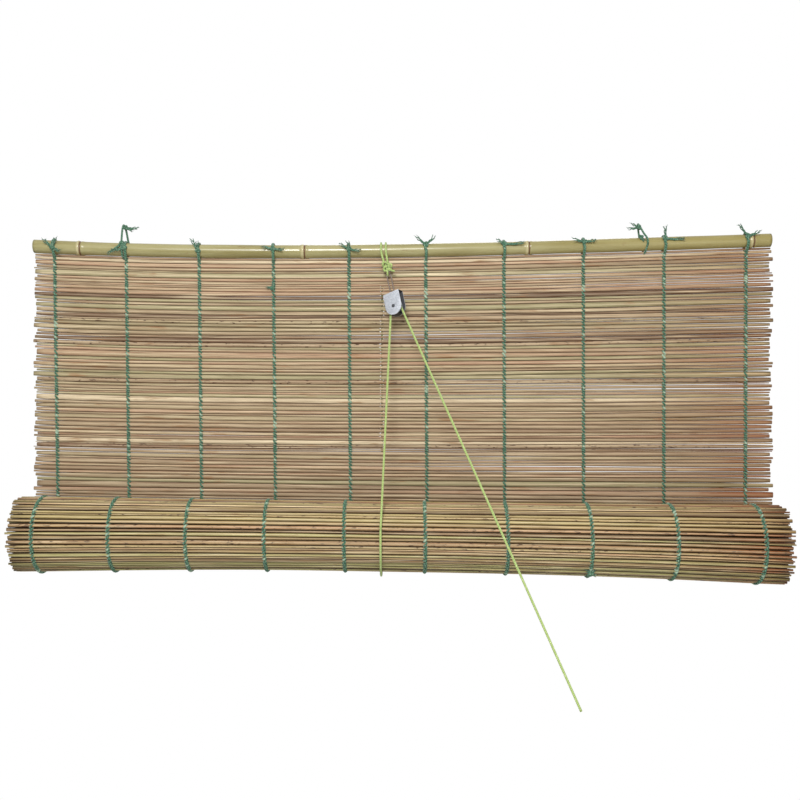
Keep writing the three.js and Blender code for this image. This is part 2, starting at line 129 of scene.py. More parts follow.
# ---- shader maths ----
class Value:
    """One output socket, with arithmetic that adds Math nodes."""

    def __init__(self, finish, socket):
        self.finish, self.socket = finish, socket

    def math(self, operation, *others):
        inputs = dict(enumerate((self, *others)))
        return self.finish.node("ShaderNodeMath", {"operation": operation}, inputs)

    def __add__(self, other):
        return self.math("ADD", other)

    def __sub__(self, other):
        return self.math("SUBTRACT", other)

    def __mul__(self, other):
        return self.math("MULTIPLY", other)

    def __truediv__(self, other):
        return self.math("DIVIDE", other)

    __radd__, __rmul__ = __add__, __mul__

    def __rsub__(self, other):
        return (self * -1) + other

    def sine(self):
        return self.math("SINE")

    def between(self, start, end, to_start=0.0, to_end=1.0):
        """Eases from to_start to to_end as the value goes from start to end."""
        settings = {"interpolation_type": "SMOOTHSTEP"}
        values = {"Value": self, "From Min": start, "From Max": end, "To Min": to_start, "To Max": to_end}
        return self.finish.node("ShaderNodeMapRange", settings, values)


def linear(*rgb):
    """A colour as seen on a screen, 0 to 255, in linear light."""
    return tuple(((c / 255 + 0.055) / 1.055) ** 2.4 if c > 10 else c / 255 / 12.92 for c in rgb) + (1.0,)


class Finish:
    """A material with one Principled shader."""

    def __init__(self, name):
        self.material = bpy.data.materials.new(name)
        self.material.use_nodes = True
        self.tree = self.material.node_tree
        self.shader = self.tree.nodes["Principled BSDF"]

    def node(self, kind, settings=None, values=None, output=0):
        made = self.tree.nodes.new(kind)
        for name, setting in (settings or {}).items():
            if name == "stops":
                self.fill_ramp(made.color_ramp, setting)
            else:
                setattr(made, name, setting)
        self.feed(made, values or {})
        return Value(self, made.outputs[output])

    def feed(self, made, values):
        for name, value in values.items():
            if isinstance(value, Value):
                self.tree.links.new(value.socket, made.inputs[name])
            else:
                made.inputs[name].default_value = value

    @staticmethod
    def fill_ramp(ramp, stops):
        while len(ramp.elements) < len(stops):
            ramp.elements.new(0.5)
        for element, (place, colour) in zip(ramp.elements, stops):
            element.position, element.color = place, colour

    def set(self, **values):
        self.feed(self.shader, {name.replace("_", " "): value for name, value in values.items()})

    def ramp(self, value, *stops):
        return self.node("ShaderNodeValToRGB", {"stops": stops}, {"Fac": value})

    def mix(self, share, first, second, blend="MIX"):
        """Colours mixed by share."""
        settings = {"data_type": "RGBA", "blend_type": blend}
        return self.node("ShaderNodeMix", settings, {"Factor": share, 6: first, 7: second}, output=2)

    def place(self):
        return self.node("ShaderNodeTexCoord", output="Object")

    def stretched(self, x, y, z, shift=None):
        """The piece's own coordinates, scaled on each axis, then moved by shift along X and Y."""
        scaled = self.vector("MULTIPLY", self.place(), (x, y, z))
        if shift is None:
            return scaled
        return self.vector("ADD", scaled, self.node("ShaderNodeCombineXYZ", {}, {"Y": shift, "X": shift}))

    def vector(self, operation, first, second, output=0):
        return self.node("ShaderNodeVectorMath", {"operation": operation}, {0: first, 1: second}, output)

    def part(self, vector, index):
        """One number of a vector: 0, 1 or 2."""
        return self.node("ShaderNodeSeparateXYZ", {}, {0: vector}, output=index)

    def noise(self, at, detail=3.0, roughness=0.55):
        values = {"Vector": at, "Scale": 1.0, "Detail": detail, "Roughness": roughness}
        return self.node("ShaderNodeTexNoise", {}, values)

    def times(self, colour, by):
        """The colour multiplied by by, channel by channel."""
        return self.mix(1.0, colour, (*by, 1), "MULTIPLY")

    def trait(self, part):
        """What each point carries. Reeds: 0 tone, 1 kind, 2 seed. Pole: 0 scar, 1 pale ridge.
        Twine: 0 painted shade where it sinks between reeds, 1 painted pale light where light comes
        through."""
        return self.part(self.node("ShaderNodeAttribute", {"attribute_name": "trait"}), part)

    def wrap(self, part):
        """0: share of the way round a strand. 1: metres along it."""
        return self.part(self.node("ShaderNodeUVMap", {"uv_map": "wrap"}), part)

    def bump(self, height, distance, strength):
        values = {"Height": height, "Distance": distance, "Strength": strength}
        self.set(Normal=self.node("ShaderNodeBump", {}, values))


def reed_finish(name, tones, kinds, stain, gloss, painted_crevice_shade, painted_highlight):
    """Dry reed: a tone for each reed, long grain, flecks, brown stains, painted shade where reeds touch,
    and a painted highlight along each reed's middle.

    kinds are the colours of the greener and the pinker reeds. The last two weights are how strongly
    painted shade darkens the edges and a painted highlight lightens the middle.
    The right end is darker and browner, with rust most of all low down."""
    f = Finish(name)
    tone, kind, seed = f.trait(0), f.trait(1), f.trait(2)
    green, pink = kinds
    far = seed * 61.0
    colour = f.ramp(tone, *tones)

    streak = f.noise(f.stretched(4, 500, 500, far), 4.0, 0.65)
    band = f.noise(f.stretched(5, 620, 620, far + 23.0), 3.0, 0.6)
    colour = f.mix(band.between(0.46, 0.72, 0.0, 0.85), colour, f.times(colour, (0.5, 0.44, 0.38)))
    colour = f.mix(kind.between(0.24, 0.12) * streak.between(0.34, 0.56, 0.1, 0.85), colour, green)
    colour = f.mix(kind.between(0.76, 0.88) * streak.between(0.38, 0.6, 0.1, 0.85), colour, pink)

    fibre = f.noise(f.stretched(22, 1500, 1500, far), 3.0, 0.6)
    colour = f.mix(fibre.between(0.42, 0.7, 0.0, 0.75), colour, f.times(colour, (0.42, 0.35, 0.29)))
    pale = f.noise(f.stretched(7, 950, 950, far + 9.0), 2.0, 0.5)
    colour = f.mix(pale.between(0.54, 0.68, 0.0, 0.6), colour, linear(226, 208, 172))
    patch = f.noise(f.stretched(12, 110, 110, far), 4.0, 0.65)
    colour = f.mix(patch.between(0.58, 0.69, 0.0, 0.7), colour, stain)

    right, height = f.part(f.place(), 0), f.part(f.place(), 2)
    damp = right.between(0.4, 0.51) * height.between(-0.1, -0.38, 0.3, 1.0)
    rust = damp * kind.between(0.5, 0.62) * patch.between(0.36, 0.5, 0.0, 0.8)
    colour = f.mix(rust, colour, linear(150, 86, 38))
    # The colour turns darker and browner towards the right end.
    darker_browner = f.times(colour, (0.66, 0.5, 0.34))
    colour = f.mix(right.between(0.28, 0.52, 0.0, 0.7), colour, darker_browner)

    fleck = f.noise(f.stretched(120, 420, 420, far), 2.0, 0.6)
    marked = seed.between(0.84, 0.88) * fleck.between(0.6, 0.64, 0.0, 0.9)
    colour = f.mix(marked, colour, linear(70, 40, 24))
    # Painted light by the way round each reed: a painted highlight along its middle, painted shade at the
    # edges where it meets its neighbours.
    face = (f.wrap(0) * (2 * math.pi)).sine().math("ABSOLUTE")
    colour = f.mix(face.between(0.9, 1.0, 0.0, painted_highlight), colour, linear(232, 216, 178))
    colour = f.mix(face.between(0.9, 0.15, 0.0, painted_crevice_shade), colour, linear(54, 33, 20))
    f.set(Base_Color=colour, Roughness=fibre.between(0.3, 0.7, gloss - 0.08, gloss + 0.12))
    f.shader.inputs["Specular IOR Level"].default_value = 0.4
    f.bump(fibre + patch * 0.5, 0.25 * MM, 0.5)
    return f.material


MAT_TONES = (
    (0.0, linear(106, 78, 56)),
    (0.12, linear(142, 114, 86)),
    (0.3, linear(158, 134, 104)),
    (0.5, linear(170, 146, 116)),
    (0.68, linear(164, 146, 112)),
    (0.86, linear(186, 164, 130)),
    (1.0, linear(216, 198, 166)),
)
ROLL_TONES = (
    (0.0, linear(66, 48, 26)),
    (0.14, linear(122, 96, 58)),
    (0.32, linear(158, 131, 86)),
    (0.5, linear(182, 156, 106)),
    (0.66, linear(170, 151, 94)),
    (0.82, linear(204, 178, 124)),
    (1.0, linear(236, 214, 164)),
)


def bamboo_finish(name):
    """The pole's skin: olive yellow, browner to the right, faint grain, scars at the nodes."""
    f = Finish(name)
    broad = f.noise(f.stretched(7, 60, 60), 4.0, 0.6)
    colour = f.ramp(
        broad,
        (0.3, linear(134, 125, 78)),
        (0.5, linear(156, 149, 103)),
        (0.7, linear(170, 163, 120)),
    )
    right = f.part(f.place(), 0)
    colour = f.mix(right.between(0.05, 0.5, 0.0, 0.7), colour, linear(152, 138, 80))
    grain = f.noise(f.stretched(9, 1400, 1400), 3.0, 0.6)
    colour = f.mix(grain.between(0.4, 0.7, 0.0, 0.35), colour, linear(128, 112, 62))
    blot = f.noise(f.stretched(40, 150, 150), 4.0, 0.7)
    colour = f.mix(blot.between(0.62, 0.72, 0.0, 0.6), colour, linear(118, 84, 48))
    colour = f.mix(f.trait(0).between(0.1, 0.9), colour, linear(96, 62, 34))
    colour = f.mix(f.trait(1), colour, linear(222, 208, 168))
    f.set(Base_Color=colour, Roughness=grain.between(0.3, 0.7, 0.21, 0.34))
    f.bump(grain, 0.2 * MM, 0.25)
    return f.material


def strand_finish(name, dark, light, pale, plies, ply_length, fuzz, roughness):
    """Twisted or braided yarn: slanted plies round the strand, fibre noise, pale flecks."""
    f = Finish(name)
    ply = ((f.wrap(0) * plies + f.wrap(1) / ply_length) * (2 * math.pi)).sine()
    fibre = f.noise(f.stretched(2200, 2200, 2200), 2.0, 0.6)
    colour = f.mix(ply.between(-1.0, 0.6) * 0.75 + fibre * 0.35, dark, light)
    fleck = f.noise(f.stretched(640, 640, 640), 2.0, 0.5)
    colour = f.mix(fleck.between(0.6, 0.7, 0.0, 0.7), colour, pale)
    # Painted shade where the twine sinks between two reeds, and painted pale light on a few stitches,
    # where light comes through.
    painted_sunk_shade, wear_and_pale_light = f.trait(0).between(0.55, 1.0, 0.0, 0.85), f.trait(1).between(0.6, 1.0, 0.0, 0.75)
    colour = f.mix(painted_sunk_shade, colour, f.times(colour, (0.2, 0.2, 0.18)))
    colour = f.mix(wear_and_pale_light, colour, pale)
    f.set(Base_Color=colour, Roughness=fibre.between(0.2, 0.8, roughness - 0.1, roughness + 0.1))
    f.shader.inputs["Sheen Weight"].default_value = fuzz
    f.bump(ply + fibre * 0.8, 0.25 * MM, 0.9)
    return f.material


def metal_finish(name, dark, light, speckle, roughness, metallic, grease_and_shade=None):
    """Steel with crystal spangle, fine scratches and dull patches.

    The last argument is a point, an axis through it, and how far along the axis grease and painted shade
    have darkened the metal."""
    f = Finish(name)
    spangle = f.noise(f.stretched(speckle, speckle, speckle), 3.0, 0.7)
    scratch = f.noise(f.stretched(300, 3000, 500), 2.0, 0.6)
    colour = f.mix(spangle.between(0.3, 0.7), dark, light)
    if grease_and_shade:
        centre, axis, reach = grease_and_shade
        away = f.vector("DOT_PRODUCT", f.vector("SUBTRACT", f.place(), centre), axis, output=1)
        # Grease and painted shade: the metal within reach along the axis goes nearly black.
        grease_and_shade_mask = away.math("ABSOLUTE").between(reach, reach - 0.1 * MM, 0.0, 0.92)
        colour = f.mix(grease_and_shade_mask, colour, linear(38, 38, 42))
    rough = spangle.between(0.3, 0.7, roughness - 0.08, roughness + 0.14) + scratch * 0.08
    f.set(Base_Color=colour, Roughness=rough)
    f.shader.inputs["Metallic"].default_value = metallic
    f.bump(spangle + scratch, 0.08 * MM, 0.35)
    return f.material


MAT_KINDS = linear(154, 148, 108), linear(178, 138, 110)
ROLL_KINDS = linear(160, 158, 98), linear(178, 134, 98)
MAT_REED = reed_finish("dry_mat_reed", MAT_TONES, MAT_KINDS, linear(140, 98, 60), 0.62, 0.52, 0.12)
ROLL_REED = reed_finish("dry_roll_reed", ROLL_TONES, ROLL_KINDS, linear(126, 90, 50), 0.5, 0.88, 0.22)
BAMBOO = bamboo_finish("bamboo_skin")
GREEN_TWINE = strand_finish(
    "green_twine", linear(30, 64, 46), linear(80, 128, 98), linear(176, 200, 172), 2, 3.4 * MM, 0.3, 0.85
)
LIME_CORD = strand_finish(
    "lime_cord", linear(116, 146, 64), linear(190, 210, 128), linear(228, 236, 184), 4, 2.6 * MM, 0.2, 0.6
)
BLOCK_WIDTH, SHEET = 11.5 * MM, 0.75 * MM
spin = joint("sheave_spin")
# Where grease and painted shade darken the block, between its cheeks.
BETWEEN_CHEEKS = tuple(spin["pos_m"]), tuple(spin["axis"]), BLOCK_WIDTH / 2 - SHEET
GALVANISED = metal_finish(
    "galvanised_sheet", linear(160, 166, 176), linear(224, 228, 234), 900, 0.45, 0.5, BETWEEN_CHEEKS
)
WIRE = metal_finish("bail_steel", linear(88, 76, 68), linear(146, 132, 122), 1500, 0.5, 0.3)
TURNED = metal_finish("turned_steel", linear(64, 66, 70), linear(120, 122, 128), 1200, 0.42, 0.85)


# ---- mesh building ----
class Strands:
    """Collects tubes and makes one mesh piece of them."""

    def __init__(self):
        self.points, self.faces, self.uvs, self.traits, self.flat = [], [], [], [], []
        self.count = 0

    def tube(self, line, radius, sides=8, up=(0, 0, 1), squat=1.0, trait=(0.5, 0.5, 0.5), tip=1.0):
        """A round tube along line. up is never along the line. squat flattens it across up."""
        line = np.asarray(line, float)
        n = len(line)
        radius = np.broadcast_to(np.asarray(radius, float), (n,)).copy()
        heading = np.gradient(line, axis=0)
        heading /= np.linalg.norm(heading, axis=1)[:, None]
        side = np.cross(heading, np.broadcast_to(np.asarray(up, float), (n, 3)))
        side /= np.linalg.norm(side, axis=1)[:, None]
        rise = np.cross(side, heading)
        if tip < 1:
            radius[0] *= tip
            radius[-1] *= tip
        a = np.arange(sides) * 2 * math.pi / sides
        ring = np.cos(a)[None, :, None] * rise[:, None] + squat * np.sin(a)[None, :, None] * side[:, None]
        points = line[:, None] + radius[:, None, None] * ring
        self.add_rings(points, line, trait)

    def add_rings(self, points, line, trait):
        """Skins rings of points, capped at both ends. trait is one row, or a row for each ring."""
        n, sides = points.shape[:2]
        run = np.concatenate([[0], np.cumsum(np.linalg.norm(np.diff(line, axis=0), axis=1))])
        base = self.count
        i, j = np.meshgrid(np.arange(n - 1), np.arange(sides), indexing="ij")
        k = (j + 1) % sides
        this, after = base + i * sides, base + (i + 1) * sides
        quads = np.stack([this + j, this + k, after + k, after + j], -1)
        u0, u1, v0, v1 = j / sides, (j + 1) / sides, run[i], run[i + 1]
        uv = np.stack([np.stack(corner, -1) for corner in ((u0, v0), (u1, v0), (u1, v1), (u0, v1))], 2)
        self.points.append(points.reshape(-1, 3))
        self.faces.extend(quads.reshape(-1, 4).tolist())
        self.uvs.append(uv.reshape(-1, 2))
        self.flat.extend([False] * (n - 1) * sides)
        for ring, order in ((0, -1), (n - 1, 1)):
            self.faces.append([base + ring * sides + c for c in range(sides)][::order])
            self.uvs.append(np.tile([[0.0, run[ring]]], (sides, 1)))
            self.flat.append(True)
        rows = np.broadcast_to(np.asarray(trait, float), (n, 3))
        self.traits.append(np.repeat(rows, sides, axis=0))
        self.count += n * sides

    def piece(self, name, material):
        mesh = bpy.data.meshes.new(name)
        points = np.concatenate(self.points)
        mesh.from_pydata(points.tolist(), [], self.faces)
        mesh.uv_layers.new(name="wrap").data.foreach_set("uv", np.concatenate(self.uvs).ravel())
        trait = mesh.attributes.new("trait", "FLOAT_VECTOR", "POINT")
        trait.data.foreach_set("vector", np.concatenate(self.traits).ravel())
        mesh.polygons.foreach_set("use_smooth", [not flat for flat in self.flat])
        mesh.materials.append(material)
        made = bpy.data.objects.new(name, mesh)
        bpy.context.scene.collection.objects.link(made)
        return made


def fitted(piece, body, slot, *nodes):
    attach(piece, body)
    if nodes:
        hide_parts(*nodes)
    return piece


def smooth_line(points, steps):
    """A curve through the points, by Catmull-Rom."""
    p = np.asarray(points, float)
    p = np.vstack([2 * p[0] - p[1], p, 2 * p[-1] - p[-2]])
    t = np.linspace(0, 1, steps, endpoint=False)[:, None]
    spans = []
    for a, b, c, d in zip(p[:-3], p[1:-2], p[2:-1], p[3:]):
        bend, ease = 2 * a - 5 * b + 4 * c - d, 3 * b - a - 3 * c + d
        spans.append(0.5 * (2 * b + (c - a) * t + bend * t**2 + ease * t**3))
    return np.vstack([*spans, p[-2]])


# ---- camera and light ----
LENS = 46.67  # mm
CAMERA_PLACE = (24.3 * MM, -1.4, -231 * MM)
ROOM_LIGHT = (0.22, 0.66)  # from below the blind, and from above it


def stage_camera():
    """Level with the blind's middle, straight on."""
    camera = bpy.data.cameras.new("camera")
    camera.lens = LENS
    seen = bpy.data.objects.new("camera", camera)
    seen.location = CAMERA_PLACE
    seen.rotation_euler = (math.pi / 2, 0, 0)
    bpy.context.scene.collection.objects.link(seen)
    bpy.context.scene.camera = seen


def soft_light(name, place, target, size, power):
    lamp = bpy.data.lights.new(name, "AREA")
    lamp.shape, lamp.size, lamp.energy = "DISK", size, power
    hung = bpy.data.objects.new(name, lamp)
    hung.location = place
    towards = np.array(target, float) - np.array(place, float)
    tilt = math.atan2(math.hypot(towards[0], towards[1]), -towards[2])
    hung.rotation_euler = (tilt, 0, math.atan2(towards[1], towards[0]) - math.pi / 2)
    bpy.context.scene.collection.objects.link(hung)


def white_room():
    """A white backdrop, with softer light from below than from above."""
    world = bpy.data.worlds.new("white_room")
    world.use_nodes = True
    nodes, links = world.node_tree.nodes, world.node_tree.links
    seen, lit = nodes["Background"], nodes.new("ShaderNodeBackground")
    seen.inputs["Strength"].default_value = 1.0
    seen.inputs["Color"].default_value = (1, 1, 1, 1)
    sky, height = nodes.new("ShaderNodeTexCoord"), nodes.new("ShaderNodeSeparateXYZ")
    level = nodes.new("ShaderNodeMapRange")
    ends = ("From Min", -0.5), ("From Max", 0.7), ("To Min", ROOM_LIGHT[0]), ("To Max", ROOM_LIGHT[1])
    for name, value in ends:
        level.inputs[name].default_value = value
    links.new(sky.outputs["Generated"], height.inputs[0])
    links.new(height.outputs[2], level.inputs["Value"])
    links.new(level.outputs[0], lit.inputs["Strength"])
    lit.inputs["Color"].default_value = (1, 1, 1, 1)
    path, pick = nodes.new("ShaderNodeLightPath"), nodes.new("ShaderNodeMixShader")
    links.new(path.outputs["Is Camera Ray"], pick.inputs[0])
    links.new(lit.outputs[0], pick.inputs[1])
    links.new(seen.outputs[0], pick.inputs[2])
    links.new(pick.outputs[0], nodes["World Output"].inputs["Surface"])
    bpy.context.scene.world = world
    bpy.context.scene.view_settings.view_transform = "Standard"


def floor():
    mesh = bpy.data.meshes.new("floor")
    reach, front, back, level = 1.6, -1.6, 0.5, -1.0
    corners = [(-reach, front, level), (reach, front, level), (reach, back, level), (-reach, back, level)]
    mesh.from_pydata(corners, [], [(0, 1, 2, 3)])
    f = Finish("pale_floor")
    grain = f.noise(f.stretched(3, 3, 3), 2.0)
    colour = f.mix(grain, linear(206, 206, 204), linear(216, 216, 214))
    f.set(Base_Color=colour, Roughness=grain.between(0, 1, 0.7, 0.85))
    mesh.materials.append(f.material)
    plane = bpy.data.objects.new("floor", mesh)
    bpy.context.scene.collection.objects.link(plane)


stage_camera()
white_room()
soft_light("key", (-0.24, -1.85, 0.72), (-0.04, 0, -0.2), 0.5, 33.5)
soft_light("fill", (0.8, -1.8, -0.3), (0, 0, -0.3), 1.4, 6)
soft_light("back", (0.2, 1.6, 0.8), (0, 0, -0.2), 1.2, 10)
floor()


# ---- pull tail: the free end of the lift cord, held straight ----
def pull_tail():
    box_low, box_high = low("pull_tail"), high("pull_tail")
    start = np.array([box_low[0] + CORD_RADIUS, box_high[1] - CORD_RADIUS, box_high[2] - CORD_RADIUS])
    end = np.array([box_high[0] - CORD_RADIUS, box_low[1] + CORD_RADIUS, box_low[2] + CORD_RADIUS])
    line = start + np.linspace(0, 1, 90)[:, None] * (end - start)
    s = Strands()
    s.tube(line, CORD_RADIUS, 12)
    tail = fitted(s.piece("pull_cord", LIME_CORD), "block", "lime_cord", "pull_tail")


pull_tail()


# ---- reeds ----
def reed_traits():
    """A reed's tone, kind and seed. A few reeds are dark, a few are pale."""
    tone = np.clip(random.normal(0.5, 0.22), 0.03, 0.97)
    if random.random() < 0.06:
        tone = random.uniform(0.0, 0.15)
    return tone, random.random(), random.random()


def ripple(share, size):
    """A smooth random curve, about size high: a slope, a bow and two waves."""
    slope, bow, long, short = random.normal(0, size, 4)
    wave = long * np.sin(share * random.uniform(3, 7) + random.uniform(0, 6))
    wave += 0.35 * short * np.sin(share * random.uniform(12, 22) + random.uniform(0, 6))
    return 0.7 * slope * (2 * share - 1) + 0.4 * bow * (2 * share - 1) ** 2 + 0.6 * wave


LOOSE_END = 0.025  # share of a reed's length


def hump(offset, reach):
    return np.exp(-((offset / reach) ** 2))


def openness(share, chance):
    """How much of its place a reed leaves empty: at the loose ends, and now and then between."""
    ends = np.exp(-share / LOOSE_END) + np.exp(-(1 - share) / LOOSE_END)
    gap = random.uniform(0.0, 0.34) * ends
    if random.random() < chance:
        deep, place, reach = random.uniform(0.1, 0.28), random.random(), random.uniform(0.05, 0.25)
        gap += deep * hump(share - place, reach)
    return gap


def reed(strands, line, thick, squat, sides, up=(0, 0, 1), trait=None):
    """One reed: thick across at each point, flattened by squat, with two slightly swollen joints."""
    share = np.linspace(0, 1, len(line))
    joints = sum(0.05 * hump(share - at, 0.004) for at in random.random(2))
    trait = trait or reed_traits()
    strands.tube(line, thick / 2 * (1 + joints), sides, up, squat=squat, trait=trait, tip=0.9)


def row_edges(total, pitch, spread):
    """Splits a length into rows of uneven height."""
    count = round(total / pitch)
    heights = np.clip(random.normal(1, spread, count), 0.55, 1.6)
    edges = np.concatenate([[0], np.cumsum(heights)])
    return edges / edges[-1] * total


at_cord = (middle("rear_fall")[0] - MAT_LEFT) / (MAT_RIGHT - MAT_LEFT)
mat_share = [np.linspace(0, 0.05, 6), np.linspace(0.07, 0.93, 38), np.linspace(0.95, 1, 6)]
mat_share = np.sort(np.concatenate([*mat_share, at_cord + np.linspace(-3, 3, 9) * MM]))
MAT_TOP_GAP = 0.3 * MM
CORD_WEAR = 0.34  # the rear cord has worn a small gap between reeds
MAT_THICK = 3.7 * MM  # a wide reed is no deeper than this, front to back
FOOT = 0.6 * MM  # the mat ends this far above the roll's axis
mid_x = (MAT_LEFT + MAT_RIGHT) / 2


def mat_top(x):
    return pole_z(x) - POLE_RADIUS - MAT_TOP_GAP


def mat_foot(x):
    return axis_at(x)[..., 2] + FOOT


MAT_DEPTH = mat_top(mid_x) - mat_foot(mid_x)
edges = row_edges(MAT_DEPTH, REED_PITCH, 0.26)
row_middle = (edges[1:] + edges[:-1]) / 2 / MAT_DEPTH
seams = [edge + ripple(mat_share, 0.78 * MM) * (0 < k < len(edges) - 1) for k, edge in enumerate(edges)]


def row_z(x, share):
    return mat_top(x) + (mat_foot(x) - mat_top(x)) * share


def hanging_reeds(rows, strands):
    for k in rows:
        left = MAT_LEFT + random.uniform(-2.5, 3.5) * MM
        right = MAT_RIGHT - random.uniform(-2, 4.5) * MM
        x = left + mat_share * (right - left)
        upper, lower = seams[k], seams[k + 1]
        line = np.stack([x, ripple(mat_share, 0.2 * MM), row_z(x, (upper + lower) / 2 / MAT_DEPTH)], -1)
        wear_and_pale_light = CORD_WEAR * (0.1 < row_middle[k] < 0.7) * hump(mat_share - at_cord, 1.3 * MM)
        thick = np.clip((lower - upper) * (1.03 - openness(mat_share, 0.3) - wear_and_pale_light), 1.2 * MM, None)
        flatness = min(random.uniform(0.7, 0.9), MAT_THICK / thick.max())
        reed(strands, line, thick, flatness, 8)


LIFT = joint("roll_lift")["range_m"][1]
FIXED_ROWS = 3  # reeds tied close to the pole, which stay put


def shortens(piece, top, foot):
    """Gives the piece its own copy of its mesh. The share of its length kept as the roll lifts is worked
    out from top and foot, but not used.
    """
    1 - LIFT / (top - foot)
    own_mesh(piece)


def gathers(piece):
    shortens(piece, mat_top(mid_x), mat_foot(mid_x))


top_rows, rows = Strands(), Strands()
hanging_reeds(range(FIXED_ROWS), top_rows)
hanging_reeds(range(FIXED_ROWS, len(row_middle)), rows)
fitted(top_rows.piece("top_reeds", MAT_REED), "head", "mat_reed", "first_reed")
gathers(fitted(rows.piece("hanging_reeds", MAT_REED), "head", "mat_reed", *BANDS))


# ---- the roll ----
ROLL_BOW = 3.6 * MM  # the roll's ends hang this far below its middle
ROLL_FLARE = 2.4 * MM  # and are this much wider


def bowed_axis(x):
    """The roll's sagging axis at x, and x as a share of the way from the middle to the right end."""
    share = (np.asarray(x, float) - mid_x) / (ROLL_RIGHT - mid_x)
    bow = np.multiply.outer(ROLL_BOW * (share**2 - 1 / 3), [0, 0, 1])
    return axis_at(x) - bow, share


def on_roll(x, radius, angle):
    """Points round the roll's axis, from the wall side down, forward and up. radius is for mid length."""
    centre, share = bowed_axis(x)
    reach = radius * (roll_radius(x) + ROLL_FLARE * (share**2 - 0.4)) / roll_radius(turn_point[0])
    out = np.stack([0 * reach * angle, reach * np.cos(angle), -reach * np.sin(angle)], -1)
    return centre + out


MID_RADIUS = roll_radius(turn_point[0])
CORE = high("core_slat")[1] - middle("core_slat")[1]
OUTER = MID_RADIUS - REED / 2
INNER_REEDS = 11 * MM  # radius of the innermost turn


def layer_radius(angle):
    return OUTER - LAYER_PITCH * angle / (2 * math.pi)


def spiral_angles():
    """Each rolled reed's angle, from the mat's end inwards, and its height round the roll."""
    angles, heights = [], []
    angle = 0.02
    while layer_radius(angle) > INNER_REEDS:
        height = REED_PITCH * np.clip(random.normal(1, 0.24), 0.6, 1.45)
        step = height / layer_radius(angle)
        angles.append(angle + step / 2)
        heights.append(height)
        angle += step
    return np.array(angles), np.array(heights)


def rolled_reed(strands, angle, height, seam):
    """Lays one reed and returns the seam between it and the next one. Inner reeds are plain, and painted
    shade darkens their tone.
    """
    outer = angle < OUTER_TURNS
    share = np.linspace(0, 1, 30 if outer else 9)
    left = ROLL_LEFT + random.uniform(-1.5, 3.5) * MM
    right = ROLL_RIGHT - random.uniform(-1.5, 4.5) * MM
    x = left + share * (right - left)
    next_seam = ripple(share, 0.95 * MM)
    shift = (seam + next_seam) / 2 if outer else 0 * share
    thick = height + (next_seam - seam) if outer else height + 0 * share
    fullness = random.uniform(0.78, 1.0) - 0.62 * openness(share, 0.45)
    thick = np.clip(thick * fullness, 1.6 * MM, 5.8 * MM)
    rise = random.uniform(-0.7, 0.4) * MM
    line = on_roll(x, layer_radius(angle) + rise, angle + shift / layer_radius(angle))
    tone, kind, seed = reed_traits()
    # Inner turns get a quarter of their tone: painted shade deep inside the roll.
    trait = (tone if outer else 0.25 * tone, kind, seed)
    squat, sides = random.uniform(0.8, 1.0), 9 if outer else 6
    reed(strands, line, thick, squat, sides, (0, math.sin(angle), math.cos(angle)), trait)
    return next_seam if outer else seam


OUTER_TURNS = 2.3 * math.pi  # how far round the spiral the reeds are in sight
angles, heights = spiral_angles()
roll_strands = Strands()
seam = ripple(np.linspace(0, 1, 30), 0.4 * MM)
for angle, height in zip(angles, heights):
    seam = rolled_reed(roll_strands, angle, height, seam)
fitted(roll_strands.piece("rolled_reeds", ROLL_REED), "roll", "roll_reed", "rolled_mat")

# The turn being wound on: from the hanging mat's foot round the lower back of the roll.
entry = Strands()
ENTRY_TURN = math.radians(40)
entry_reach = -turn_point[1]
count = round(entry_reach * ENTRY_TURN / REED_PITCH)
for k in range(count):
    angle = (k + 0.5) / count * ENTRY_TURN
    x = MAT_LEFT + random.uniform(-3, 3) * MM + np.linspace(0, 1, 24) * (MAT_RIGHT - MAT_LEFT)
    centre = axis_at(x)
    y, z = centre[:, 1] * (1 - math.cos(angle)), centre[:, 2] - entry_reach * math.sin(angle)
    line = np.stack([x, y, z], -1)
    reed(entry, line, np.full(24, REED_PITCH * 0.98), 0.8, 8, (0, math.sin(angle), math.cos(angle)))
fitted(entry.piece("entry_reeds", MAT_REED), "sling", "mat_reed", "entry_band")


# ---- twine: two strands that cross between reeds ----
STITCH = 1.6 * MM  # how far a strand swings to each side
STEPS = 5
PALE_STITCHES = 0.16
ACROSS = np.array([1.0, 0, 0])


def weave(strands, centre, out, half_depth):
    """Two strands along centre (one row per reed), each half a turn per reed round the reeds.

    The strands get painted shade where they sink between two reeds, and painted pale light over a few
    reeds, where light comes through."""
    n = len(centre)
    rows = np.arange(n)
    t = np.linspace(0, n - 1, (n - 1) * STEPS + 1)
    line = np.stack([np.interp(t, rows, c) for c in centre.T], -1)
    outward = np.stack([np.interp(t, rows, c) for c in out.T], -1)
    # A random few stitches are marked for painted pale light, where light comes through.
    wear_and_pale_light = np.interp(t, rows, (random.random(n) < PALE_STITCHES).astype(float))
    for phase in (0, math.pi):
        turned = (t * math.pi + phase)[:, None]
        wound = line + outward * ((half_depth + TWINE_STRAND * 0.7) * np.cos(turned))
        wound += ACROSS * (STITCH * np.sin(turned))
        # Painted shade share: most where the strand dives between two reeds.
        painted_sunk_shade = 1 - np.abs(np.cos(turned[:, 0]))
        strands.tube(wound, TWINE_STRAND, 7, ACROSS, trait=np.stack([painted_sunk_shade, wear_and_pale_light, 0 * t], -1))


LEAN_MID, LEAN_ENDS = 2.2 * MM, -3.2 * MM  # how far right a column wanders down the mat
half_span = (MAT_RIGHT - MAT_LEFT) / 2


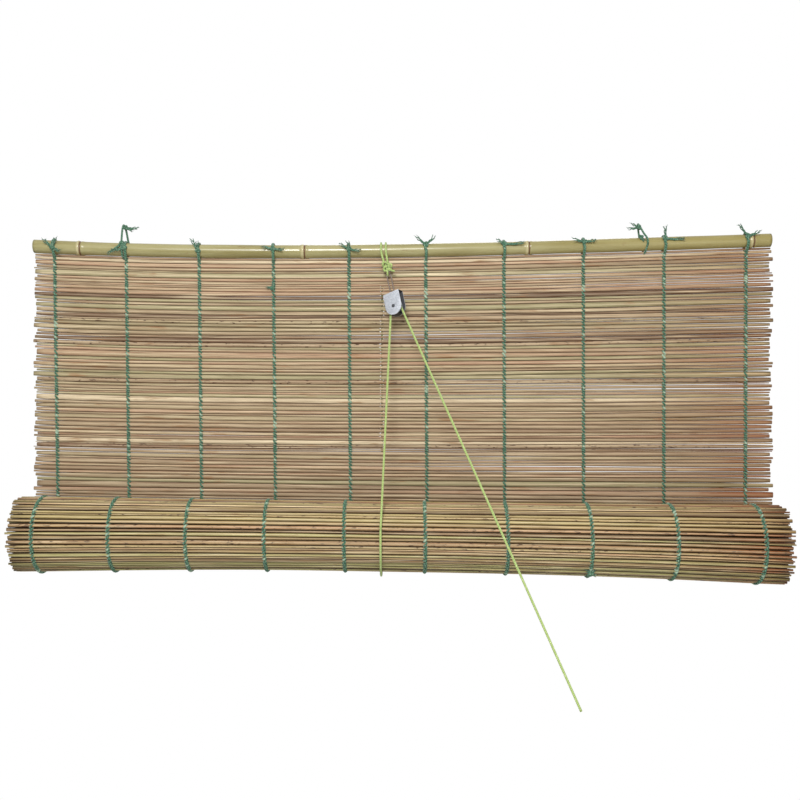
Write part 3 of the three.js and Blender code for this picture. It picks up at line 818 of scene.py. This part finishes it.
def column(x, first, last):
    """The stitches of one column from row first to row last."""
    s = Strands()
    share = row_middle[first:last]
    place = x + (LEAN_MID + LEAN_ENDS * (x - mid_x) / half_span) * share
    centre = np.stack([place, 0 * share, row_z(place, share)], -1)
    weave(s, centre, np.tile([0.0, -1, 0], (len(share), 1)), REED * 0.44)
    return s


def ring(x):
    """The same stitches round the roll."""
    s = Strands()
    outer = angles[angles < 2 * math.pi - 0.2]
    centre = on_roll(np.full(len(outer), x), layer_radius(outer), outer)
    weave(s, centre, np.stack([0 * outer, np.cos(outer), -np.sin(outer)], -1), REED * 0.5)
    return s


for i, x in enumerate(warp_x):
    number = f"{i + 1:02d}"
    top = column(x, 0, FIXED_ROWS).piece(f"top_stitches_{number}", GREEN_TWINE)
    fitted(top, "head", "green_twine")
    below = column(x, FIXED_ROWS - 1, len(row_middle)).piece(f"mat_stitches_{number}", GREEN_TWINE)
    gathers(fitted(below, "head", "green_twine", COLUMNS[i]))
    round_roll = ring(ring_x[i]).piece(f"roll_stitches_{number}", GREEN_TWINE)
    fitted(round_roll, "roll", "green_twine", RINGS[i])


# ---- head pole ----
FIRST_NODE, NODE_STEP, NODES = 62 * MM, 302 * MM, 4
BORE = 5 * MM


def node_shape(x, nodes):
    """How far the skin stands out near each node, how dark its scar is and how pale its ridge."""
    swell, scar, ridge = np.zeros((3, len(x)))
    for n in nodes:
        d = (x - n) / MM
        swell += MM * np.exp(-((d + 1.5) ** 2) / 5)
        swell -= 0.35 * MM * np.exp(-((d - 1.2) ** 2) / 1.2)
        swell += 0.4 * MM * np.exp(-((d - 3.5) ** 2) / 5)
        scar += np.exp(-((d - 1.0) ** 2) / 1.6)
        ridge += 0.4 * np.exp(-((d + 2.0) ** 2) / 2.5)
    return swell, np.clip(scar, 0, 1), np.clip(ridge, 0, 1)


def head_pole():
    """A bowed bamboo pole with its nodes, and a dry, pale bore at each cut end."""
    nodes = POLE_LEFT + FIRST_NODE + NODE_STEP * np.arange(NODES)
    x = np.linspace(POLE_LEFT, POLE_RIGHT, 240)
    x = np.sort(np.concatenate([x, *[n + np.linspace(-7, 7, 21) * MM for n in nodes]]))
    swell, scar, ridge = node_shape(x, nodes)
    radius = POLE_RADIUS * (1 + 0.012 * np.sin(x * 23) + 0.008 * np.sin(x * 61 + 2)) + swell
    radius[0] = POLE_RADIUS
    line = np.stack([x, 0 * x, pole_z(x)], -1)
    a = np.arange(40) * 2 * math.pi / 40
    circle = np.stack([0 * a, -np.sin(a), np.cos(a)], -1)

    def rings(*places):
        return np.stack([line[at] + r * circle for at, r in places])

    lip = POLE_RADIUS - 0.4 * MM
    deep_left, deep_right = 12, len(x) - 8
    left = rings((deep_left, BORE * 0.05), (deep_left, BORE), (0, BORE), (0, lip))
    right = rings((-1, lip), (-1, BORE), (deep_right, BORE), (deep_right, BORE * 0.05))
    skin = line[:, None] + radius[:, None, None] * circle
    cut = np.tile([0.35, 0.6, 0.0], (4, 1))
    traits = np.concatenate([cut, np.stack([scar, ridge, 0 * x], -1), cut])
    centres = np.concatenate([np.tile(line[0], (4, 1)), line, np.tile(line[-1], (4, 1))])
    s = Strands()
    s.add_rings(np.concatenate([left, skin, right]), centres, traits)
    fitted(s.piece("bamboo_pole", BAMBOO), "head", "bamboo", "head_pole")


head_pole()

core = Strands()
x = np.linspace(ROLL_LEFT, ROLL_RIGHT, 30)
core.tube(bowed_axis(x)[0], CORE * (1 + 0.03 * np.sin(x * 40)), 16, trait=(0.0, 0.2, 0.5))
fitted(core.piece("core_batten", BAMBOO), "roll", "bamboo", "core_slat")


# ---- knots, ties and loops ----
LOOSE_UP = (0.13, -1, 0.21)  # a direction that no cut end or knot runs along


def round_pole(x, turns, reach, slant):
    """Turns of twine round the pole and, stretched downwards, the top reed."""
    a = np.linspace(0, 2 * math.pi * turns, 28 * turns + 1)
    grip = POLE_RADIUS + reach
    z = grip * np.sin(a)
    z = np.where(z < 0, z * (1 + 0.42 * (-np.sin(a)) ** 3), z)
    return np.stack([x + slant * (a / a[-1] - 0.5), -grip * np.cos(a), z + pole_z(x)], -1)


def knot(strands, centre, size, radius, twist):
    """A tight three-lobed knot."""
    t = np.linspace(0, 2 * math.pi, 60)
    x = np.sin(t + twist) + 2 * np.sin(2 * t + twist)
    y = -1.1 * np.sin(3 * t)
    z = np.cos(t + twist) - 2 * np.cos(2 * t + twist)
    line = np.stack([x, y, z], -1) / 3 * size + np.asarray(centre)
    strands.tube(line, radius, 7, up=LOOSE_UP, trait=(0.5, 0.5, random.random()))


def frayed_tail(strands, start, reach, radius, plies=3):
    """A cut end of twine that untwists: its plies part towards the tip and end in loose fibres."""
    start, reach = np.asarray(start, float), np.asarray(reach, float)
    length = np.linalg.norm(reach)
    t = np.linspace(0, 1, 14)[:, None]
    sag = np.array([0, 0, -0.18 * length]) * (t**2 - t)
    middle_line = start + reach * t - sag
    for ply in range(plies):
        around = ply * 2 * math.pi / plies + t[:, 0] * 5
        part = radius * (0.45 + 0.9 * t[:, 0] ** 2)
        spread = np.stack([np.cos(around), 0.6 * np.sin(around), np.sin(around)], -1) * part[:, None]
        line = middle_line + spread
        thin = radius * 0.62 * np.linspace(1, 0.6, 14)
        strands.tube(line, thin, 6, up=LOOSE_UP, trait=(0.5, 0.5, random.random()), tip=0.6)
        for _ in range(2):
            flick = (reach / length + random.uniform(-0.7, 0.7, 3)) * random.uniform(1.5, 3.2) * MM
            ends = line[-2] + flick * t[:6] / t[5]
            strands.tube(ends, radius * np.linspace(0.28, 0.1, 6), 4, up=LOOSE_UP)


# Each tie's knot, up the pole's face, and where its cut ends reach, right and up from the knot (mm).
TIE_ENDS = (
    (-1.0, (-11, 9), (4, 11), (9, -5)),
    (1.0, (-15, -3),),
    (0.0, (-8, 14), (-1, 9)),
    (3.0, (-12, 2), (13, -1)),
    (2.0, (-11, 6), (-1, 8), (14, -2)),
    (7.0, (-12, 9), (11, 10)),
    (5.0, (-9, 5), (25, 2)),
    (5.0, (-14, 3), (13, 2)),
    (6.0, (-1, 15), (24, 0)),
    (5.5, (-12, 14), (14, 6)),
)
for i, (x, (height, *ends)) in enumerate(zip(warp_x, TIE_ENDS)):
    s = Strands()
    s.tube(round_pole(x, 2, TWINE_STRAND * 1.1, 2.2 * MM), TWINE_STRAND, 7, up=ACROSS)
    face = math.sqrt((POLE_RADIUS + TWINE_STRAND) ** 2 - (height * MM) ** 2)
    front = np.array([x, -face - 0.6 * TWINE_STRAND, pole_z(x) + height * MM])
    knot(s, front, 2.9 * MM, TWINE_STRAND * 0.9, random.uniform(0, 6))
    for right, up in ends:
        frayed_tail(s, front, np.array([right, random.uniform(-3, 0), up]) * MM, TWINE_STRAND * 1.15)
    fitted(s.piece(f"pole_lashing_{i + 1:02d}", GREEN_TWINE), "head", "green_twine", TIES[i])

# Each hanging loop goes round the pole and up over its nail. Points are right, back and up from the
# pole's middle (mm), with None for the loop's own top. Then come its knots: each one's place, up from
# the pole's middle or below zero down from the loop's top, and where its cut ends reach.
LOOPS = {
    "hanging_loop_left": (
        (
            *((-1, -10.8, 0), (-1.5, -9, 8), (-0.8, -4, None), (1.5, 0, None)),
            *((4, 7, 11), (5.5, 10.8, 2), (3, 8, -9), (0, -6, -11)),
        ),
        ((3.5, -3, -1), (15, 0), (8, -3)),
        ((-1, -10, 8), (-17, -14), (3, -5)),
    ),
    "hanging_loop_right": (
        (
            *((8.5, -10.8, 0), (8, -9.5, 7), (4, -5, 15), (-1, -1, None)),
            *((-2, 3, None), (2, 10, 8), (5, 10.8, -2), (6, 0, -12)),
        ),
        ((-1.5, -3, -3), (-14, -2), (-9, 4)),
        ((0, -8, 9), (3, -4),),
    ),
}
for name, (path, *knots) in LOOPS.items():
    s = Strands()
    x = middle(name)[0]
    base = np.array([x, 0, pole_z(x)])
    rise = (high(name)[2] - base[2]) / MM + 2
    points = [base + np.array([right, back, rise if up is None else up]) * MM for right, back, up in path]
    s.tube(smooth_line([*points, points[0]], 8), TWINE_STRAND, 8, up=(0.92, 0.1, 0.38))
    for (right, back, up), *ends in knots:
        tie = base + np.array([right, back, up + rise if up < 0 else up]) * MM
        knot(s, tie, 2.5 * MM, TWINE_STRAND * 0.9, right)
        for along, lift in ends:
            frayed_tail(s, tie, np.array([along, -1, lift]) * MM, TWINE_STRAND * 1.1)
    fitted(s.piece(f"{name}_twine", GREEN_TWINE), "head", "green_twine", name)

# Two places where a twine was joined on: low on the eighth ring, and high on the fourth column.
RING_JOIN, RING_JOIN_ANGLE = 7, 2.25
joins = Strands()
at = on_roll(ring_x[RING_JOIN], OUTER + REED * 0.8, RING_JOIN_ANGLE)
knot(joins, at, 3 * MM, TWINE_STRAND, 0.4)
for right, up in ((-5, 3), (4, 4), (-4, -3), (5, -2)):
    frayed_tail(joins, at, np.array([right, -1, up]) * MM, TWINE_STRAND)
fitted(joins.piece("ring_join", GREEN_TWINE), "roll", "green_twine")
COLUMN_JOIN, COLUMN_JOIN_SHARE = 3, 0.11
joins = Strands()
at = np.array([warp_x[COLUMN_JOIN] - 1 * MM, -REED * 0.9, row_z(warp_x[COLUMN_JOIN], COLUMN_JOIN_SHARE)])
knot(joins, at, 2.4 * MM, TWINE_STRAND * 0.9, 1.9)
frayed_tail(joins, at, np.array([-6, -1, 1]) * MM, TWINE_STRAND)
gathers(fitted(joins.piece("column_join", GREEN_TWINE), "head", "green_twine"))


# ---- lift cord ----
def cord_piece(points, name, body, node):
    s = Strands()
    s.tube(points, CORD_RADIUS, 12, up=ACROSS)
    return fitted(s.piece(name, LIME_CORD), body, "lime_cord", node)


sling_x = middle("roll_sling")[0]
fall_low, fall_high = low("front_fall"), high("front_fall")
foot = np.array([sling_x, fall_low[1] + CORD_RADIUS, fall_low[2]])
head = np.array([fall_high[0] - CORD_RADIUS, fall_high[1] - CORD_RADIUS, fall_high[2]])
line = foot + np.linspace(0, 1, 60)[:, None] * (head - foot)
fall = cord_piece(line, "front_fall_cord", "head", "front_fall")
1 - LIFT / (head[2] - foot[2])
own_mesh(fall)

rear = middle("rear_fall")
rear_top, rear_foot = high("rear_fall")[2], low("rear_fall")[2]
z = np.linspace(rear_foot, rear_top, 80)
line = np.stack([0 * z + rear[0], 0 * z + rear[1], z], -1)
shortens(cord_piece(line, "rear_fall_cord", "head", "rear_fall"), rear_top, rear_foot)


def sling():
    """Down behind the roll, snug under it, and up its front to the front fall."""
    centre = axis_at(sling_x)
    back = rear[1] - centre[1]
    front = centre[1] - (low("roll_sling")[1] + CORD_RADIUS)
    leave = math.pi + math.asin((foot[2] - centre[2]) / front)
    a = np.linspace(0, leave, 70)
    ease = np.clip((a - ENTRY_TURN) / math.radians(75), 0, 1)
    ease = ease * ease * (3 - 2 * ease)
    reach = back + (front - back) * ease - 2 * MM * np.sin(math.pi * a / leave) ** 2
    line = np.stack([0 * a + sling_x, centre[1] + reach * np.cos(a), centre[2] - reach * np.sin(a)], -1)
    cord_piece(line, "sling_cord", "sling", "roll_sling")


sling()


# ---- the hitch that the block hangs from ----
def mm(*numbers):
    return np.array(numbers) * MM


def cord_hitch():
    """Two strands over the pole into a double knot, with a cut end and an eye for the bail."""
    s = Strands()
    pivot = np.array(joint("block_swing")["pos_m"])
    grip = POLE_RADIUS + CORD_RADIUS * 1.1
    knot_right, knot_above_pivot = 6.5, 10
    knot_at = np.array([sling_x, -POLE_RADIUS, pivot[2]]) + mm(knot_right, -3, knot_above_pivot)
    for start, end in ((-1.2, 3.2), (5.2, 8.2)):
        x = sling_x + start * MM
        a = np.linspace(-0.15, 1.25 * math.pi, 30)
        over = np.stack([x + 0 * a, -grip * np.cos(a), pole_z(x) + grip * np.sin(a)], -1)
        below = [x + 0.25 * (end - start) * MM, -grip - 0.3 * MM, pole_z(x) - 6 * MM]
        line = np.vstack([over[::-1][::3], below, knot_at + mm(end - knot_right, 1, 4)])
        s.tube(smooth_line(line, 5), CORD_RADIUS, 10, up=ACROSS)
    knot(s, knot_at, 6.6 * MM, CORD_RADIUS * 1.1, 0.9)
    knot(s, knot_at + mm(1.0, -0.6, -1.5), 5 * MM, CORD_RADIUS * 1.05, 3.1)
    a = np.linspace(0, 2 * math.pi, 26)
    eye = np.stack([0 * a - 1.2, 2.4 * np.sin(a), 1.4 + 3.4 * np.cos(a)], -1) * MM
    s.tube(pivot + eye, CORD_RADIUS * 0.9, 9, up=ACROSS)
    cut_end = knot_at + mm([2, -1, -2], [5, -2, -4.5], [8, -1.5, -6], [10.5, -1, -6.5])
    s.tube(smooth_line(cut_end, 5), CORD_RADIUS, 10, up=(0.2, -1, 0.3))
    fitted(s.piece("cord_hitch_knot", LIME_CORD), "head", "lime_cord", "cord_hitch")


cord_hitch()


# ---- the block's metal ----
def finished(node, body, slot, material, edge):
    """The node's own shape with its edges rounded over."""
    source = frame["nodes"][node]
    made = bpy.data.objects.new(f"{node}_rounded", source.data.copy())
    bpy.context.scene.collection.objects.link(made)
    made.matrix_world = source.matrix_world
    made.data.materials.clear()
    made.data.materials.append(material)
    work = bmesh.new()
    work.from_mesh(made.data)
    bmesh.ops.remove_doubles(work, verts=work.verts, dist=1e-6)
    bmesh.ops.dissolve_limit(work, angle_limit=math.radians(2), verts=work.verts, edges=work.edges)
    sharp = [e for e in work.edges if e.is_manifold and e.calc_face_angle() > math.radians(40)]
    if edge:
        shape = {"segments": 2, "profile": 0.6, "affect": "EDGES", "clamp_overlap": True}
        bmesh.ops.bevel(work, geom=sharp, offset=edge, **shape)
    work.to_mesh(made.data)
    work.free()
    made.data.polygons.foreach_set("use_smooth", [True] * len(made.data.polygons))
    made.data.set_sharp_from_angle(angle=math.radians(38))
    return fitted(made, body, slot, node)


finished("bail_wire", "block", "steel_wire", WIRE, 0)
finished("block_shell", "block", "galvanised_sheet", GALVANISED, 0.22 * MM)
finished("block_rivet", "block", "steel_wire", TURNED, 0.2 * MM)
finished("sheave", "sheave", "sheave_metal", TURNED, 0.15 * MM)
finished("sheave_cord", "block", "lime_cord", LIME_CORD, 0)
